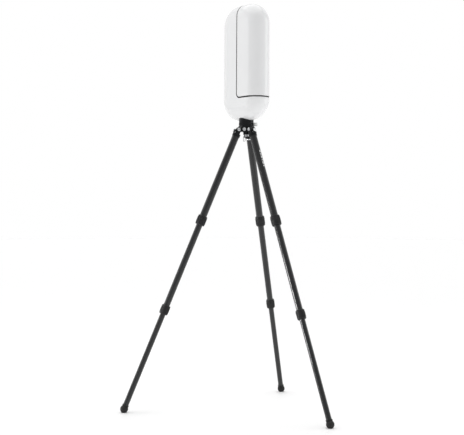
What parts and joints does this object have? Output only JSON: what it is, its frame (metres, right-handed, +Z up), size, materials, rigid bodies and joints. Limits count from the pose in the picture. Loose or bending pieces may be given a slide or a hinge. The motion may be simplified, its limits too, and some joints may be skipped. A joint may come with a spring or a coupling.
{
  "type": "smart telescope on a tripod",
  "caption": "Closed capsule-shaped robotic telescope with a tilting tube half, panning on a three-leg carbon tripod with twist-lock telescoping legs.",
  "frame": {"origin": "on the ground, at the centre of the footprint's bounding box", "axes": "+Z up, +X along the capsule's width and over leg 1, +Y towards the face with the power button"},
  "size_m": [0.6664, 0.7652, 1.434],
  "materials": {
    "white_gloss_shell": "high gloss moulded, very light",
    "black_liner": "fine matt moulded",
    "carbon_tube": "woven carbon fibre under satin resin",
    "black_casting": "black anodised, satin",
    "bright_metal": "turned and polished",
    "steel": "ground",
    "plain_alloy": "sheet, milled",
    "grip_rubber": "ribbed, matt",
    "foot_rubber": "moulded, matt",
    "motor_grey": "anodised dark grey",
    "battery_wrap": "shrink wrap",
    "circuit_green": "solder mask",
    "antenna_amber": "flexible film",
    "button_white": "polished",
    "light_guide": "clear, lit from behind",
    "level_body": "clear over pale",
    "lens_glass": "coated optical glass",
    "sensor_blue": "solder mask and sensor cover"
  },
  "bodies": {
    "tripod_head": {"spider": "black_casting", "tripod_collar": "black_casting", "centre_screw": "steel", "spirit_level": "level_body", "accessory_socket": "bright_metal", "hinge_bolts": "steel", "azimuth_foot": "black_casting"},
    "leg_upper_1": {"leg_yoke_1": "black_casting", "upper_tube_1": "carbon_tube"},
    "leg_middle_1": {"middle_tube_1": "carbon_tube"},
    "leg_lower_1": {"lower_tube_1": "carbon_tube", "foot_1": "foot_rubber"},
    "lock_ring_upper_1": {"upper_lock_1": "grip_rubber"},
    "lock_ring_lower_1": {"lower_lock_1": "grip_rubber"},
    "catch_1": {"angle_catch_1": "bright_metal"},
    "leg_upper_2": {"leg_yoke_2": "black_casting", "upper_tube_2": "carbon_tube", "strap_band": "black_casting"},
    "leg_middle_2": {"middle_tube_2": "carbon_tube"},
    "leg_lower_2": {"lower_tube_2": "carbon_tube", "foot_2": "foot_rubber"},
    "lock_ring_upper_2": {"upper_lock_2": "grip_rubber"},
    "lock_ring_lower_2": {"lower_lock_2": "grip_rubber"},
    "catch_2": {"angle_catch_2": "bright_metal"},
    "leg_upper_3": {"leg_yoke_3": "black_casting", "upper_tube_3": "carbon_tube"},
    "leg_middle_3": {"middle_tube_3": "carbon_tube"},
    "leg_lower_3": {"lower_tube_3": "carbon_tube", "foot_3": "foot_rubber"},
    "lock_ring_upper_3": {"upper_lock_3": "grip_rubber"},
    "lock_ring_lower_3": {"lower_lock_3": "grip_rubber"},
    "catch_3": {"angle_catch_3": "bright_metal"},
    "strap_loop": {"strap_ring": "steel"},
    "head": {"main_shell": "white_gloss_shell", "seat_liner": "black_liner", "liner_screws": "steel", "arm_frame": "plain_alloy", "base_frame": "plain_alloy", "azimuth_bearing": "steel", "azimuth_gearmotor": "motor_grey", "altitude_gearmotor": "motor_grey", "battery_pack": "battery_wrap", "main_board": "circuit_green", "wifi_antenna": "antenna_amber", "button_light_ring": "light_guide", "button_switch": "circuit_green", "usb_socket": "steel"},
    "button": {"power_button": "button_white"},
    "tube": {"tube_shell": "white_gloss_shell", "tube_liner": "black_liner", "altitude_hub": "steel", "tube_bracket": "plain_alloy", "lens_barrel": "black_casting", "lens_cell": "black_casting", "objective_lens": "lens_glass", "focus_motor": "motor_grey"},
    "focuser": {"focus_carriage": "motor_grey", "camera_sensor": "sensor_blue"}
  },
  "joints": [
    {"name": "leg_fold_1", "type": "hinge", "parent": "tripod_head", "child": "leg_upper_1", "pos_m": [-0.07842, 0, 0.99134], "axis": [0, 1, 0], "range_deg": [0, 22]},
    {"name": "middle_slide_1", "type": "slide", "parent": "leg_upper_1", "child": "leg_middle_1", "axis": [-0.3762, 0, 0.9265], "range_m": [0, 0.27]},
    {"name": "lower_slide_1", "type": "slide", "parent": "leg_middle_1", "child": "leg_lower_1", "axis": [-0.3762, 0, 0.9265], "range_m": [0, 0.33]},
    {"name": "upper_twist_1", "type": "hinge", "parent": "leg_upper_1", "child": "lock_ring_upper_1", "pos_m": [0.05251, 0, 0.66891], "axis": [-0.3762, 0, 0.9265], "range_deg": [0, 110]},
    {"name": "lower_twist_1", "type": "hinge", "parent": "leg_middle_1", "child": "lock_ring_lower_1", "pos_m": [0.17967, 0, 0.35574], "axis": [-0.3762, 0, 0.9265], "range_deg": [0, 110]},
    {"name": "catch_pull_1", "type": "slide", "parent": "leg_upper_1", "child": "catch_1", "axis": [0.9265, 0, 0.3762], "range_m": [0, 0.005], "stiffness_N_per_m": 200},
    {"name": "leg_fold_2", "type": "hinge", "parent": "tripod_head", "child": "leg_upper_2", "pos_m": [-0.12042, 0.02425, 0.99134], "axis": [-0.866, -0.5, 0], "range_deg": [0, 22]},
    {"name": "middle_slide_2", "type": "slide", "parent": "leg_upper_2", "child": "leg_middle_2", "axis": [0.1881, -0.3258, 0.9265], "range_m": [0, 0.27]},
    {"name": "lower_slide_2", "type": "slide", "parent": "leg_middle_2", "child": "leg_lower_2", "axis": [0.1881, -0.3258, 0.9265], "range_m": [0, 0.33]},
    {"name": "upper_twist_2", "type": "hinge", "parent": "leg_upper_2", "child": "lock_ring_upper_2", "pos_m": [-0.18588, 0.13763, 0.66891], "axis": [0.1881, -0.3258, 0.9265], "range_deg": [0, 110]},
    {"name": "lower_twist_2", "type": "hinge", "parent": "leg_middle_2", "child": "lock_ring_lower_2", "pos_m": [-0.24946, 0.24776, 0.35574], "axis": [0.1881, -0.3258, 0.9265], "range_deg": [0, 110]},
    {"name": "catch_pull_2", "type": "slide", "parent": "leg_upper_2", "child": "catch_2", "axis": [-0.4633, 0.8024, 0.3762], "range_m": [0, 0.005], "stiffness_N_per_m": 200},
    {"name": "leg_fold_3", "type": "hinge", "parent": "tripod_head", "child": "leg_upper_3", "pos_m": [-0.12042, -0.02425, 0.99134], "axis": [0.866, -0.5, 0], "range_deg": [0, 22]},
    {"name": "middle_slide_3", "type": "slide", "parent": "leg_upper_3", "child": "leg_middle_3", "axis": [0.1881, 0.3258, 0.9265], "range_m": [0, 0.27]},
    {"name": "lower_slide_3", "type": "slide", "parent": "leg_middle_3", "child": "leg_lower_3", "axis": [0.1881, 0.3258, 0.9265], "range_m": [0, 0.33]},
    {"name": "upper_twist_3", "type": "hinge", "parent": "leg_upper_3", "child": "lock_ring_upper_3", "pos_m": [-0.18588, -0.13763, 0.66891], "axis": [0.1881, 0.3258, 0.9265], "range_deg": [0, 110]},
    {"name": "lower_twist_3", "type": "hinge", "parent": "leg_middle_3", "child": "lock_ring_lower_3", "pos_m": [-0.24946, -0.24776, 0.35574], "axis": [0.1881, 0.3258, 0.9265], "range_deg": [0, 110]},
    {"name": "catch_pull_3", "type": "slide", "parent": "leg_upper_3", "child": "catch_3", "axis": [-0.4633, -0.8024, 0.3762], "range_m": [0, 0.005], "stiffness_N_per_m": 200},
    {"name": "strap_ring_swing", "type": "hinge", "parent": "leg_upper_2", "child": "strap_loop", "pos_m": [-0.14254, 0.02157, 0.9698], "axis": [-0.5, 0.866, 0], "range_deg": [-6, 80]},
    {"name": "pan", "type": "hinge", "parent": "tripod_head", "child": "head", "pos_m": [-0.10642, 0, 1.02004], "axis": [0, 0, 1], "continuous": true},
    {"name": "tilt", "type": "hinge", "parent": "head", "child": "tube", "pos_m": [-0.10642, 0, 1.38904], "axis": [1, 0, 0], "range_deg": [0, 180]},
    {"name": "focus", "type": "slide", "parent": "tube", "child": "focuser", "axis": [0, 0, 1], "range_m": [-0.002, 0.002]},
    {"name": "button_press", "type": "slide", "parent": "head", "child": "button", "axis": [0, -1, 0], "range_m": [0, 0.001], "stiffness_N_per_m": 1500}
  ]
}
